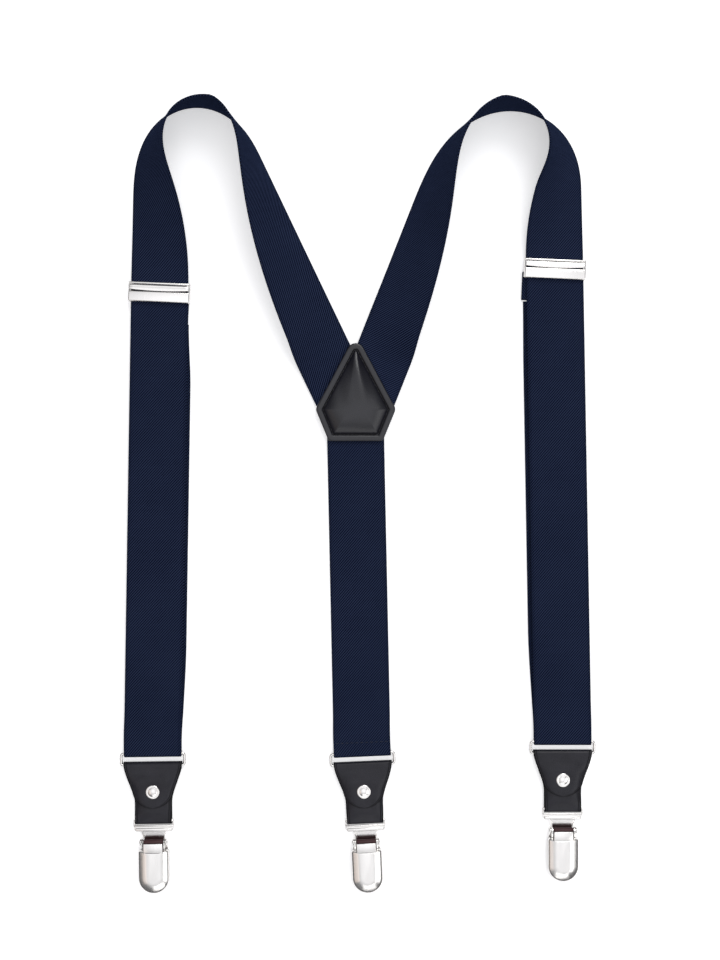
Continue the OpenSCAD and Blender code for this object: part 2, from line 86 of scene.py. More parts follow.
# Shoulders, in millimetres along the strap and in degrees: where it starts to twist and for how long,
# where it starts to untwist and for how long, and its bend's start, length, turn and power
TWIST = {"left": (7, 193.5, 148, 259.5), "right": (7, 168, 129.5, 269)}
BEND = {"left": (50.5, 140.5, 153.4, 1.15), "right": (47.3, 165, 157.3, 0.77)}
PATH = {"left": 348, "right": 337}
HAND = {"left": 1, "right": -1}
SEWN = {"left": 1.25, "right": 2.65}
TOP_ROLL = 99
TWIST_POWER = 0.7
UNTWIST_POWER = 0.57
PATH_STEP = 3
# Where the strap comes down from the adjuster, climbs onto the patch and lies flat again before its end
SETTLE = 60
RISE = (90, 44)
FLAT = (52, 26)

# Folded end of the back strap, and the row of stitches through it
BACK_HEM = 10 * MM
STITCH_Y = 6.6 * MM

# Patch
PATCH_AT = (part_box("patch_front")[0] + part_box("patch_front")[1]) / 2
PATCH_LOW_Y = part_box("patch_front")[0][1]
PATCH_H = 60 * MM
PATCH_W = 48.4 * MM
PATCH_SHOULDER = 19.5 * MM
PATCH_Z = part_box("patch_front")[0][2]

# Leather
LEATHER_T = 1.2 * MM
TAB_FOLD_R = 1.6 * MM
TAB_TOP_W = 35.8 * MM
TAB_LOW_W = 22.2 * MM
TAB_TAPER = 25.5 * MM
RING_H = 7.1 * MM
TAB_TOP_Y = -4.9 * MM
RIVET_Y = -23.1 * MM
TONGUE_Y = -32.9 * MM
TONGUE_R = 13.5 * MM
TAB_LAYERS = (0.625 * MM, 1.875 * MM, 3.125 * MM)
LOOP_Y = -41.2 * MM
LOOP_Z = joints["left_clip_hinge"]["pos_m"][2]
LOOP_FOLD_R = 1.5 * MM
TAB_BULGE = 2.4 * MM

# Clip, measured from its loop bar
SHEET_T = 0.8 * MM
CLIP_LEN = 43.7 * MM
LID_W = 18.7 * MM
NECK_W = 12.9 * MM
EAR_Y = -12.35 * MM
EAR_Z = joints["left_lid_hinge"]["pos_m"][2]
EAR_R = 1.9 * MM

# Adjuster, measured from its middle
ADJUSTER_W = 37.6 * MM
ADJUSTER_H = 12.3 * MM
LEVER_Y = 3.3 * MM
LEVER_Z = joints["left_lever_hinge"]["pos_m"][2]
LEVER_ROLL_R = 1.05 * MM
LEVER_W = 36 * MM
LEVER_BOW = 0.8 * MM

# Studio: the camera, how much the floor glows, and how bright the room is at its sides and overhead
CAMERA_AT = (1.2 * MM, 11.1 * MM, 780 * MM)
CAMERA_LENS = 47.6
FLOOR_GLOW = 0.45
ROOM_SIDES, ROOM_OVERHEAD = 0.12, 1.44
ROOM_FALLOFF = 5.0


def smooth(t):
    u = min(max(t, 0.0), 1.0)
    return u * u * (3 - 2 * u)


def seat(joint, back=0.0):
    """The place of a hinged piece: X along its hinge, its origin on the table below the hinge."""
    x, y, _ = joints[joint]["pos_m"]
    ax, ay, _ = joints[joint]["axis"]
    turn = atan2(ay, ax) if ax > 0 else atan2(-ay, -ax)
    return Matrix.Translation((x, y, 0)) @ Matrix.Rotation(turn, 4, "Z") @ Matrix.Translation((0, back, 0))


END_AT = {end: seat(end + "_ring_hinge") for end in ENDS}
CLIP_AT = {end: seat(end + "_clip_hinge") for end in ENDS}
ADJUSTER_AT = {side: seat(side + "_lever_hinge", -LEVER_Y) for side in SIDES}


# ---------------------------------------------------------------- materials

def material(name, **sockets):
    mat = bpy.data.materials.new(name)
    mat.use_nodes = True
    bsdf = mat.node_tree.nodes["Principled BSDF"]
    for socket, value in sockets.items():
        bsdf.inputs[socket.replace("_", " ")].default_value = value
    return mat, bsdf


def add(mat, kind, inputs=None, **settings):
    """A shader node, its inputs given as numbers or as other nodes' sockets."""
    node = mat.node_tree.nodes.new("ShaderNode" + kind)
    for key, value in settings.items():
        setattr(node, key, value)
    for key, value in (inputs or {}).items():
        if isinstance(value, bpy.types.NodeSocket):
            mat.node_tree.links.new(value, node.inputs[key])
        else:
            node.inputs[key].default_value = value
    return node


def math(mat, operation, *values):
    return add(mat, "Math", dict(enumerate(values)), operation=operation).outputs[0]


def blend_colour(mat, share, dark, light):
    mix = add(mat, "Mix", {0: share}, data_type="RGBA")
    mix.inputs[6].default_value = (*dark, 1)
    mix.inputs[7].default_value = (*light, 1)
    return mix.outputs[2]


def plug(mat, bsdf, socket, value):
    mat.node_tree.links.new(value, bsdf.inputs[socket])


def bump(mat, height, strength, distance, under=None):
    inputs = {"Height": height, "Strength": strength, "Distance": distance}
    if under is not None:
        inputs["Normal"] = under
    return add(mat, "Bump", inputs).outputs[0]


def webbing_material():
    """Elastic webbing: fine diagonal ribs crossed by a weaker set, with a corded edge."""
    ribs_across, ribs_along = 619.0, 554.0  # per metre
    mat, bsdf = material("navy_webbing", Roughness=0.85, Specular_IOR_Level=0.0)
    uv = add(mat, "UVMap", uv_map="weave")
    split = add(mat, "SeparateXYZ", {0: uv.outputs[0]})
    across, along = split.outputs[0], split.outputs[1]
    turn_x = math(mat, "MULTIPLY", across, 2 * pi * ribs_across)
    turn_y = math(mat, "MULTIPLY", along, 2 * pi * ribs_along)
    wobble = add(mat, "TexNoise", {"Vector": uv.outputs[0], "Scale": 260.0, "Detail": 2.0})
    shift = math(mat, "MULTIPLY", wobble.outputs[0], 1.2)
    warp = math(mat, "ADD", math(mat, "ADD", turn_x, turn_y), shift)
    weft = math(mat, "ADD", math(mat, "SUBTRACT", turn_x, turn_y), shift)
    ribs = math(mat, "MULTIPLY", math(mat, "SINE", warp), 0.47)
    cross = math(mat, "MULTIPLY", math(mat, "SINE", weft), 0.10)
    picks = math(mat, "MULTIPLY", math(mat, "SINE", math(mat, "MULTIPLY", turn_y, 2.3)), 0.06)
    weave = math(mat, "ADD", math(mat, "ADD", ribs, cross), math(mat, "ADD", picks, 0.5))
    edge = add(mat, "MapRange", {0: math(mat, "ABSOLUTE", across), 1: STRAP_W / 2 - 2.0 * MM,
                                 2: STRAP_W / 2 - 1.4 * MM}, interpolation_type="SMOOTHSTEP")
    fibre = add(mat, "TexNoise", {"Vector": uv.outputs[0], "Scale": 2600.0, "Detail": 3.0})
    cloud = add(mat, "TexNoise", {"Vector": uv.outputs[0], "Scale": 34.0, "Detail": 2.0})
    tone = math(mat, "ADD", math(mat, "MULTIPLY_ADD", weave, 1.15, -0.27),
                math(mat, "ADD", math(mat, "MULTIPLY", fibre.outputs[0], 0.2),
                     math(mat, "MULTIPLY", cloud.outputs[0], 0.22)))
    # The colour is darker towards both edges.
    darker_at_edges = math(mat, "MULTIPLY_ADD", edge.outputs[0], -0.12, tone)
    navy = blend_colour(mat, darker_at_edges, (0.0001, 0.0006, 0.0060), (0.0262, 0.0372, 0.0800))
    plug(mat, bsdf, "Base Color", navy)
    height = math(mat, "ADD", weave, math(mat, "MULTIPLY", edge.outputs[0], 0.5))
    fuzz = math(mat, "MULTIPLY_ADD", fibre.outputs[0], 0.35, height)
    plug(mat, bsdf, "Normal", bump(mat, fuzz, 0.55, 0.16 * MM))
    return mat


def thread_material(name, colour):
    """Twisted sewing thread."""
    mat, bsdf = material(name, Roughness=0.6, Specular_IOR_Level=0.35, Sheen_Weight=0.2)
    place = add(mat, "TexCoord").outputs["Object"]
    ply = add(mat, "TexWave", {"Vector": place, "Scale": 900.0, "Distortion": 1.0},
              bands_direction="DIAGONAL")
    light = tuple(min(1, c * 2.2 + 0.004) for c in colour)
    plug(mat, bsdf, "Base Color", blend_colour(mat, ply.outputs[1], colour, light))
    plug(mat, bsdf, "Normal", bump(mat, ply.outputs[1], 0.5, 0.05 * MM))
    return mat


def leather_material(name, dark, light, gloss, coat, grain_size, shine=0.45, line=None):
    """Grained leather; line is where a pressed line runs, measured in from the matt edge. With a line, the
    pressed line and the edge are darkened with painted shade.
    """
    mat, bsdf = material(name, Specular_IOR_Level=shine, Coat_Weight=coat, Coat_Roughness=0.25)
    place = add(mat, "TexCoord").outputs["Object"]
    cells = add(mat, "TexVoronoi", {"Vector": place, "Scale": 1 / grain_size, "Randomness": 0.9},
                feature="SMOOTH_F1")
    pores = add(mat, "TexNoise", {"Vector": place, "Scale": 2.6 / grain_size, "Detail": 4.0})
    cloud = add(mat, "TexNoise", {"Vector": place, "Scale": 90.0, "Detail": 3.0})
    tone = math(mat, "MULTIPLY_ADD", cells.outputs["Distance"], 0.35,
                math(mat, "MULTIPLY", cloud.outputs[0], 0.65))
    rough = add(mat, "MapRange", {0: pores.outputs[0], 3: gloss, 4: gloss + 0.2}).outputs[0]
    height = math(mat, "MULTIPLY_ADD", pores.outputs[0], 0.4, cells.outputs["Distance"])
    if line is not None:
        from_edge = add(mat, "Attribute", attribute_name="from_edge").outputs["Fac"]
        away = math(mat, "ABSOLUTE", math(mat, "SUBTRACT", from_edge, line))
        crease = add(mat, "MapRange", {0: away, 1: 0.0, 2: 0.38 * MM, 3: 1.0, 4: 0.0},
                     interpolation_type="SMOOTHSTEP").outputs[0]
        rim = add(mat, "MapRange", {0: from_edge, 1: 0.5 * MM, 2: 1.1 * MM, 3: 1.0, 4: 0.0},
                  interpolation_type="SMOOTHSTEP").outputs[0]
        # Painted shade: the pressed line and the rim along the edge are darkened in the colour; both are also
        # made rougher, and the pressed line is sunk by the bump.
        painted_shade_and_matt = math(mat, "ADD", crease, rim)
        tone = math(mat, "MULTIPLY_ADD", painted_shade_and_matt, -0.7, tone)
        height = math(mat, "MULTIPLY_ADD", crease, -3.0, height)
        rough = math(mat, "MULTIPLY_ADD", painted_shade_and_matt, 0.5, rough)
    plug(mat, bsdf, "Base Color", blend_colour(mat, tone, dark, light))
    plug(mat, bsdf, "Roughness", rough)
    plug(mat, bsdf, "Normal", bump(mat, height, 0.45, 0.10 * MM))
    return mat


def nickel_material(name, colour, low, high):
    """Bright nickel plate with fine handling marks."""
    mat, bsdf = material(name, Metallic=1.0)
    place = add(mat, "TexCoord").outputs["Object"]
    long_marks = add(mat, "Mapping", {"Vector": place, "Scale": (900.0, 120.0, 900.0)})
    marks = add(mat, "TexNoise", {"Vector": long_marks.outputs[0], "Scale": 1.0, "Detail": 3.0})
    cloud = add(mat, "TexNoise", {"Vector": place, "Scale": 160.0, "Detail": 2.0})
    dulled = tuple(0.93 * c for c in colour)
    plug(mat, bsdf, "Base Color", blend_colour(mat, cloud.outputs[0], dulled, colour))
    wear = math(mat, "ADD", math(mat, "MULTIPLY", marks.outputs[0], 0.6),
                math(mat, "MULTIPLY", cloud.outputs[0], 0.4))
    rough = add(mat, "MapRange", {0: wear, 1: 0.3, 2: 0.7, 3: low, 4: high})
    plug(mat, bsdf, "Roughness", rough.outputs[0])
    plug(mat, bsdf, "Normal", bump(mat, wear, 0.12, 0.03 * MM))
    return mat


def pad_material():
    """Soft moulded grip pad."""
    mat, bsdf = material("maroon_pad", Roughness=0.5, Specular_IOR_Level=0.4)
    place = add(mat, "TexCoord").outputs["Object"]
    speck = add(mat, "TexNoise", {"Vector": place, "Scale": 1800.0, "Detail": 3.0})
    maroon = blend_colour(mat, speck.outputs[0], (0.030, 0.009, 0.011), (0.075, 0.024, 0.028))
    plug(mat, bsdf, "Base Color", maroon)
    plug(mat, bsdf, "Normal", bump(mat, speck.outputs[0], 0.3, 0.05 * MM))
    return mat


def floor_material():
    """Pale paper that glows a little, so that shadows on it stay light."""
    mat, bsdf = material("pale_floor", Roughness=0.7, Specular_IOR_Level=0.1)
    place = add(mat, "TexCoord").outputs["Object"]
    tooth = add(mat, "TexNoise", {"Vector": place, "Scale": 400.0, "Detail": 2.0})
    paper = blend_colour(mat, tooth.outputs[0], (0.90, 0.90, 0.91), (0.93, 0.93, 0.935))
    plug(mat, bsdf, "Base Color", paper)
    bsdf.inputs["Emission Color"].default_value = (1, 1, 1, 1)
    bsdf.inputs["Emission Strength"].default_value = FLOOR_GLOW
    return mat


WEBBING = webbing_material()
NAVY_THREAD = thread_material("navy_thread", (0.006, 0.009, 0.022))
BLACK_THREAD = thread_material("black_thread", (0.0015, 0.0015, 0.0018))
PATCH_LEATHER = leather_material("patch_leather", (0.001, 0.001, 0.0030), (0.012, 0.012, 0.0200),
                                 0.20, 0.22, 0.7 * MM)
TAB_LEATHER = leather_material("tab_leather", (0.0004, 0.0004, 0.0020), (0.030, 0.029, 0.0400),
                               0.20, 0.0, 0.5 * MM, shine=0.27, line=1.6 * MM)
NICKEL = nickel_material("bright_nickel", (0.83, 0.81, 0.79), 0.14, 0.26)
PIN_STEEL = nickel_material("pin_steel", (0.62, 0.61, 0.60), 0.2, 0.35)
PAD = pad_material()
FLOOR = floor_material()


# ---------------------------------------------------------------- making pieces

def piece(name, bm, finish, body=None, at=None, sharp=35):
    """A mesh made into a piece, which rides on a body unless it is to bend between two."""
    if at is not None:
        bmesh.ops.transform(bm, matrix=at, verts=bm.verts)
    mesh = bpy.data.meshes.new(name)
    bm.to_mesh(mesh)
    bm.free()
    mesh.materials.append(finish)
    mesh.shade_smooth()
    mesh.set_sharp_from_angle(angle=radians(sharp))
    made = bpy.data.objects.new(name, mesh)
    bpy.context.scene.collection.objects.link(made)
    if body is not None:
        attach(made, body)
    return made


def thicken(made, thickness, rounding, segments=2):
    """Gives a strip its thickness, half to each side, and rounds its edges."""
    wall = made.modifiers.new("thickness", "SOLIDIFY")
    wall.thickness = thickness
    wall.offset = 0
    wall.use_even_offset = True
    edge = made.modifiers.new("rounding", "BEVEL")
    edge.width = rounding
    edge.segments = segments
    edge.limit_method = "ANGLE"
    edge.angle_limit = radians(50)
    return made


def line(*stops):
    """Points of a (y, z) line through the stops, no more than 2.5 mm apart."""
    points = [stops[0]]
    for (y0, z0), (y1, z1) in zip(stops, stops[1:]):
        n = max(1, ceil(hypot(y1 - y0, z1 - z0) / (2.5 * MM)))
        points += [(y0 + (y1 - y0) * i / n, z0 + (z1 - z0) * i / n) for i in range(1, n + 1)]
    return points


def arc(y, z, r, start, stop, n=10):
    """Points of a (y, z) arc from one angle to another, in degrees from +Y towards +Z."""
    angles = [radians(start + (stop - start) * i / n) for i in range(n + 1)]
    return [(y + r * cos(a), z + r * sin(a)) for a in angles]


def joined(*stretches):
    """One line from several that meet end to end."""
    points = []
    for stretch in stretches:
        points += [p for p in stretch
                   if not points or hypot(p[0] - points[-1][0], p[1] - points[-1][1]) > 1e-7]
    return points


def strip(points, half_width, across=8, place=None, grain=1):
    """A strip that follows a (y, z) line. half_width is a number, or a function of y and the share of
    the line; grain is -1 where the weave runs against the line."""
    n = len(points) - 1
    length = [0.0]
    for (y0, z0), (y1, z1) in zip(points, points[1:]):
        length.append(length[-1] + hypot(y1 - y0, z1 - z0))
    bm = bmesh.new()
    bmesh.ops.create_grid(bm, x_segments=across, y_segments=n, size=0.5)
    weave = bm.loops.layers.uv.new("weave")
    from_edge = bm.verts.layers.float.new("from_edge")
    spot = {}
    for v in bm.verts:
        i = round((v.co.y + 0.5) * n)
        y, z = points[i]
        half = half_width(y, length[i] / length[-1]) if callable(half_width) else half_width
        x = 2 * v.co.x * half
        spot[v] = (x, grain * length[i])
        v[from_edge] = half - abs(x)
        v.co = place(x, y, z, length[i]) if place else Vector((x, y, z))
    for face in bm.faces:
        for loop in face.loops:
            loop[weave].uv = spot[loop.vert]
    bmesh.ops.recalc_face_normals(bm, faces=bm.faces)
    return bm


def stitches(name, spots, finish, body, length=2.0 * MM, width=0.45 * MM):
    """A row of stitches: spots are (place, direction) of each stitch's middle."""
    bm = bmesh.new()
    for centre, way in spots:
        turn = Vector(way).to_track_quat("X", "Z").to_matrix().to_4x4()
        stretch = Matrix.Diagonal((length / 2, width / 2, width / 2, 1))
        bmesh.ops.create_icosphere(bm, subdivisions=1, radius=1,
                                   matrix=Matrix.Translation(centre) @ turn @ stretch)
    return piece(name, bm, finish, body, sharp=80)


def across_row(at, y, z, width, pitch=3.0 * MM):
    """Spots of a row of stitches across a strap."""
    n = int(width / pitch)
    way = at.to_3x3() @ Vector((1, 0, 0))
    return [(at @ Vector(((i - (n - 1) / 2) * pitch, y, z)), way) for i in range(n)]


# ---------------------------------------------------------------- webbing

def heading(side, s):
    start, length, turn, power = BEND[side]
    share = min(max((s - start) / length, 0.0), 1.0) ** power
    return radians(90 - LEAN[side] - HAND[side] * turn * smooth(share))


def roll(side, s):
    start, length, back, back_length = TWIST[side]
    twist = min(max((s - start) / length, 0.0), 1.0) ** TWIST_POWER
    untwist = min(max((s - back) / back_length, 0.0), 1.0) ** UNTWIST_POWER
    last = (s - PATH[side] + FLAT[0]) / (FLAT[0] - FLAT[1])
    return radians(TOP_ROLL) * smooth(twist) * (1 - smooth(untwist)) * (1 - smooth(last))


def lift(side, s):
    over = STRAP_HIGH / MM - 0.6
    rise = (s - PATH[side] + RISE[0]) / (RISE[0] - RISE[1])
    return over * (1 - smooth(s / SETTLE)) + SEWN[side] * smooth(rise)


def inward(side, s):
    return HAND[side] * Vector((sin(heading(side, s)), -cos(heading(side, s))))


def outer_edge(side):
    """Places of the strap's outer edge on the table, one for each step of its path."""
    n = ceil(PATH[side] / PATH_STEP)
    step = PATH[side] / n
    at = ADJUSTER_AT[side].translation.xy / MM - STRAP_W / MM / 2 * inward(side, 0)
    edge = [at.copy()]
    for i in range(n):
        a = heading(side, (i + 0.5) * step)
        at = at + step * Vector((cos(a), sin(a)))
        edge.append(at.copy())
    return edge, step


def shoulder_strap(side):
    """From the adjuster over the shoulder to the patch, standing on its outer edge at the top."""
    edge, step = outer_edge(side)
    run = [(i * step * MM, 0.0) for i in range(len(edge))]

    def place(x, y, z, s):
        i = round(s / MM / step)
        d = STRAP_W / MM / 2 + HAND[side] * x / MM
        r = roll(side, s / MM)
        at = edge[i] + d * cos(r) * inward(side, i * step)
        return Vector((at.x, at.y, lift(side, s / MM) + STRAP_T / MM / 2 * abs(cos(r)) + d * sin(r))) * MM

    made = piece(side + "_shoulder_webbing", strip(run, STRAP_W / 2, across=10, place=place, grain=-1),
                 WEBBING, "straps", sharp=80)
    thicken(made, STRAP_T, 0.35 * MM)
    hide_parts(side + "_strap")
    return made


def run_frame(end):
    """The place of a straight strap, with its origin at the ring's upper bar."""
    return Matrix.Translation(END_AT[end].translation) @ Matrix.Rotation(-radians(LEAN[end]), 4, "Z")


def turned_to_ring(end):
    """Places a strap's point so that the strap turns to face its ring over the last stretch."""
    straight, ring = run_frame(end), END_AT[end]

    def place(x, y, z, s):
        share = smooth((y - 2 * MM) / (24 * MM))
        point = Vector((x, y, z))
        return (ring @ point).lerp(straight @ point, share)

    return place


def fold_round_bar(z_low, stub):
    """The line of a strap's fold round its ring's upper bar, from the front to the stub behind."""
    return joined(arc(0, RING_Z, STRAP_FOLD_R, 90, 270, 12), [(stub, z_low)])


def front_strap(side):
    """From under the adjuster down to the ring and round its bar, in front of the returning webbing."""
    top = (run_frame(side).inverted() @ ADJUSTER_AT[side].translation).y
    points = joined(line((top, STRAP_HIGH), (0, STRAP_HIGH)), fold_round_bar(STRAP_LOW, RETURN_STUB))
    made = piece(side + "_front_webbing", strip(points, STRAP_W / 2, place=turned_to_ring(side)),
                 WEBBING, sharp=80)
    thicken(made, STRAP_T, 0.35 * MM)
    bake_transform(made)
    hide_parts(side + "_front_run", side + "_strap_fold")
    return made


def return_strap(side):
    """The webbing that comes back up behind the front strap, riding on the strap's end."""
    top = (run_frame(side).inverted() @ ADJUSTER_AT[side].translation).y
    hem_low = top - (ADJUSTER_H / 2 + HEM_LEN - HEM_OVERLAP)
    stub = RETURN_STUB
    points = line((stub, STRAP_LOW), (hem_low, STRAP_LOW))
    turn = turned_to_ring(side)

    def place(x, y, z, s):
        share = (y - stub) / (hem_low - stub)
        aside = RETURN_ASIDE[side] * smooth(share * 4)
        aside += (HEM_ASIDE[side] - RETURN_ASIDE[side]) * smooth((share - 0.85) / 0.15)
        return turn(x + aside, y, z, s)

    made = piece(side + "_return_webbing", strip(points, STRAP_W / 2, place=place, grain=-1), WEBBING,
                 side + "_end", sharp=80)
    thicken(made, STRAP_T, 0.35 * MM)
    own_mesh(made)
    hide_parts(side + "_strap_return")
    return made


def strap_hem(side):
    """The webbing's end, folded over the adjuster's rear bar and sewn to itself."""
    low = -ADJUSTER_H / 2 - HEM_LEN
    fold_y, fold_z, fold_r = -3.35 * MM, 1.6 * MM, 1.0 * MM
    points = joined(line((low, STRAP_LOW), (fold_y, STRAP_LOW)), arc(fold_y, fold_z, fold_r, -90, 90),
                    line((fold_y, fold_z + fold_r), (-7.5 * MM, fold_z + fold_r), (low + 3 * MM, 1.8 * MM),
                         (low, 1.8 * MM)))
    at = ADJUSTER_AT[side] @ Matrix.Translation((HEM_ASIDE[side], 0, 0))
    made = piece(side + "_hem_webbing", strip(points, STRAP_W / 2, grain=-1), WEBBING,
                 side + "_adjuster", at=at, sharp=80)
    thicken(made, STRAP_T, 0.3 * MM)
    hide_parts(side + "_strap_hem")
    rows = across_row(at, low + 2 * MM, 0.05 * MM, STRAP_W - 2 * MM) \
        + across_row(at, low + 9 * MM, 0.05 * MM, STRAP_W - 2 * MM)
    stitches(side + "_hem_stitches", rows, NAVY_THREAD, side + "_adjuster")
    return made


def back_strap():
    """Straight down from the patch, folded round the ring and sewn down."""
    top = (run_frame("back").inverted() @ Vector((PATCH_AT[0], PATCH_LOW_Y + 12.5 * MM, 0))).y
    sewn = (SEWN["left"] + 0.6) * MM
    hem = BACK_HEM
    rise = top - 15.5 * MM
    points = joined(
        line((top, sewn), (rise, sewn), (rise - 14 * MM, STRAP_LOW), (hem + 12 * MM, STRAP_LOW),
             (hem, STRAP_LOW + STRAP_T), (hem - 4 * MM, STRAP_LOW + STRAP_T), (1 * MM, STRAP_HIGH)),
        fold_round_bar(STRAP_LOW, 2 * MM), line((2 * MM, STRAP_LOW), (hem, STRAP_LOW)))
    made = piece("back_webbing", strip(points, STRAP_W / 2, place=turned_to_ring("back")),
                 WEBBING, "straps", sharp=80)
    thicken(made, STRAP_T, 0.35 * MM)
    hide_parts("back_strap")
    row = across_row(END_AT["back"], STITCH_Y, 3.0 * MM, STRAP_W - 2 * MM)
    stitches("back_hem_stitches", row, NAVY_THREAD, "straps")
    return made


# ---------------------------------------------------------------- patch

PATCH_CORNERS = [(STRAP_W / 2 - 3 * MM, 3 * MM, 3 * MM), (PATCH_W / 2 - 4 * MM, PATCH_SHOULDER, 4 * MM),
                 (0, PATCH_H - 5.5 * MM, 5.5 * MM), (4 * MM - PATCH_W / 2, PATCH_SHOULDER, 4 * MM),
                 (3 * MM - STRAP_W / 2, 3 * MM, 3 * MM)]


def patch_ring(inset, arc_steps=6, side_steps=(16, 28, 28, 16, 22), least=0.5 * MM):
    """Points round the patch, anticlockwise from its lower right, moved in by inset all round."""
    n = len(PATCH_CORNERS)
    facing = []
    for i in range(n):
        (x0, y0, r0), (x1, y1, r1) = PATCH_CORNERS[i], PATCH_CORNERS[(i + 1) % n]
        gap = hypot(x1 - x0, y1 - y0)
        facing.append(atan2(y1 - y0, x1 - x0) - pi / 2 + atan2(r0 - r1, sqrt(gap ** 2 - (r0 - r1) ** 2)))
    arcs = []
    for i, (x, y, r) in enumerate(PATCH_CORNERS):
        a0, a1 = facing[i - 1], facing[i]
        a1 += 2 * pi * round((a0 + 0.8 - a1) / (2 * pi))
        before, after = Vector((cos(a0), sin(a0))), Vector((cos(a1), sin(a1)))
        blunt = least + 0.42 * max(inset - 4.6 * MM, 0) * (i == 2)
        short = max(blunt + inset - r, 0)
        centre = Vector((x, y)) - (before + after) * short / (1 + before.dot(after))
        radius = max(r - inset, blunt)
        turns = [a0 + (a1 - a0) * k / arc_steps for k in range(arc_steps + 1)]
        arcs.append([centre + radius * Vector((cos(a), sin(a))) for a in turns])
    points = []
    for i in range(n):
        here, there = arcs[i][-1], arcs[(i + 1) % n][0]
        points += arcs[i] + [here.lerp(there, k / side_steps[i]) for k in range(1, side_steps[i])]
    return points


def ringed_shell(bm, rings):
    """Bridges rings of points, each given as (points, z), into a shell closed over its last ring."""
    loops = []
    for points, z in rings:
        verts = [bm.verts.new((p.x, p.y, z)) for p in points]
        loops.append([bm.edges.new(pair) for pair in zip(verts, verts[1:] + verts[:1])])
    for lower, upper in zip(loops, loops[1:]):
        bmesh.ops.bridge_loops(bm, edges=lower + upper)
    top = bmesh.ops.contextual_create(bm, geom=loops[-1])["faces"]
    bmesh.ops.recalc_face_normals(bm, faces=bm.faces)
    return top


# Section of the patch: how far in from its edge, and how high above its underside
PATCH_SECTION = ((0.3, 0.0), (0.0, 0.35), (0.05, 0.8), (0.3, 1.1), (0.7, 1.24), (1.6, 1.3), (2.6, 1.26),
                 (3.3, 1.16), (3.62, 0.95), (3.82, 0.4), (3.95, 0.2), (4.3, 0.2), (4.42, 0.5), (4.6, 1.05),
                 (5.0, 1.5), (5.7, 1.95), (6.8, 2.5), (8.2, 3.1), (9.8, 3.65), (11.6, 4.1), (13.4, 4.4),
                 (15.2, 4.55))


def patch_swell(x, y, inset):
    """Extra height of the puffed middle, which has a soft ridge down from its apex and a hollow beside it."""
    inside = smooth((inset - 4.6) / 5)
    ridge = exp(-((x - (50 - y) * 0.22) / 3.2) ** 2)
    ridge *= smooth((y - 18) / 16) * (1 - smooth((y - 44) / 12))
    hollow = exp(-(((x + 8) / 5) ** 2 + ((y - 26) / 9) ** 2))
    hollow += 0.6 * exp(-(((x - 6) / 5) ** 2 + ((y - 14) / 6) ** 2))
    return inside * (0.7 * ridge - 0.75 * hollow)


def leather_patch():
    """Front of the patch: pressed rim, stitched channel and a puffed middle."""
    bm = bmesh.new()
    top = ringed_shell(bm, [(patch_ring(d * MM), z * MM) for d, z in PATCH_SECTION])
    bmesh.ops.poke(bm, faces=top)
    for v in bm.verts:
        if v.co.z > 1.4 * MM:
            v.co.z += patch_swell(v.co.x / MM, v.co.y / MM, 4.6 + 3 * (v.co.z / MM - 1.2)) * MM
    bmesh.ops.contextual_create(bm, geom=[e for e in bm.edges if e.is_boundary])
    bmesh.ops.recalc_face_normals(bm, faces=bm.faces)
    at = Matrix.Translation((PATCH_AT[0], PATCH_LOW_Y, PATCH_Z))
    made = piece("patch_front_leather", bm, PATCH_LEATHER, "straps", at=at, sharp=60)
    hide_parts("patch_front")
    seam = patch_ring(4.12 * MM)
    pitch, along, spots = 2.5 * MM, 0.0, []
    for p, q in zip(seam, seam[1:] + seam[:1]):
        along += (q - p).length
        if along > pitch:
            along -= pitch
            middle = Vector(((p.x + q.x) / 2, (p.y + q.y) / 2, 0.42 * MM))
            spots.append((at @ middle, (q.x - p.x, q.y - p.y, 0)))
    stitches("patch_stitches", spots, BLACK_THREAD, "straps", 1.9 * MM, 0.55 * MM)
    return made


# ---------------------------------------------------------------- leather tabs

def tab_half_width(y):
    return (TAB_TOP_W - (TAB_TOP_W - TAB_LOW_W) * smooth((TAB_TOP_Y - y) / TAB_TAPER)) / 2


def leather_tab(end):
    """One strip: tongue in front, over the ring's lower bar, down the back, round the loop bar and up
    inside."""
    back, inside, front = TAB_LAYERS
    tip = [(TONGUE_Y + TONGUE_R * (1 - cos(radians(a))), front)
           for a in (3, 8, 14, 21, 29, 38, 48, 60, 75)]
    over = RING_Z + TAB_FOLD_R
    points = joined(
        tip, line(tip[-1], (RIVET_Y + 5 * MM, front), (-RING_H - 2 * MM, over), (-RING_H, over)),
        arc(-RING_H, RING_Z, TAB_FOLD_R, 90, -90), line((-RING_H, back), (LOOP_Y, back)),
        arc(LOOP_Y, LOOP_Z, LOOP_FOLD_R, 270, 90), line((LOOP_Y, LOOP_Z + LOOP_FOLD_R),
        (LOOP_Y + 2 * MM, LOOP_Z + LOOP_FOLD_R), (TONGUE_Y, inside), (RIVET_Y + 5.6 * MM, inside)))

    def half_width(y, share):
        wide = tab_half_width(y)
        if share < 0.2 and y < TONGUE_Y + TONGUE_R:
            return min(wide, sqrt(max(TONGUE_R ** 2 - (y - TONGUE_Y - TONGUE_R) ** 2, 0)))
        return wide

    def bulged(x, y, z, s):
        half = tab_half_width(y)
        over_all = smooth((-10 * MM - y) / (8 * MM)) * smooth((y - LOOP_Y) / (7 * MM))
        dimple = 0.55 * exp(-(x ** 2 + (y - RIVET_Y) ** 2) / (4.6 * MM) ** 2)
        crown = 1 - abs(x / half) ** 3.4 - dimple * (abs(x) < 9 * MM)
        return Vector((x, y, z + (z > 1.3 * MM) * over_all * crown * TAB_BULGE))

    made = piece(end + "_tab_leather", strip(points, half_width, across=14, place=bulged), TAB_LEATHER,
                 end + "_tab", at=END_AT[end], sharp=70)
    thicken(made, LEATHER_T, 0.55 * MM, 4)
    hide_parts(end + "_leather_tab")
    return made


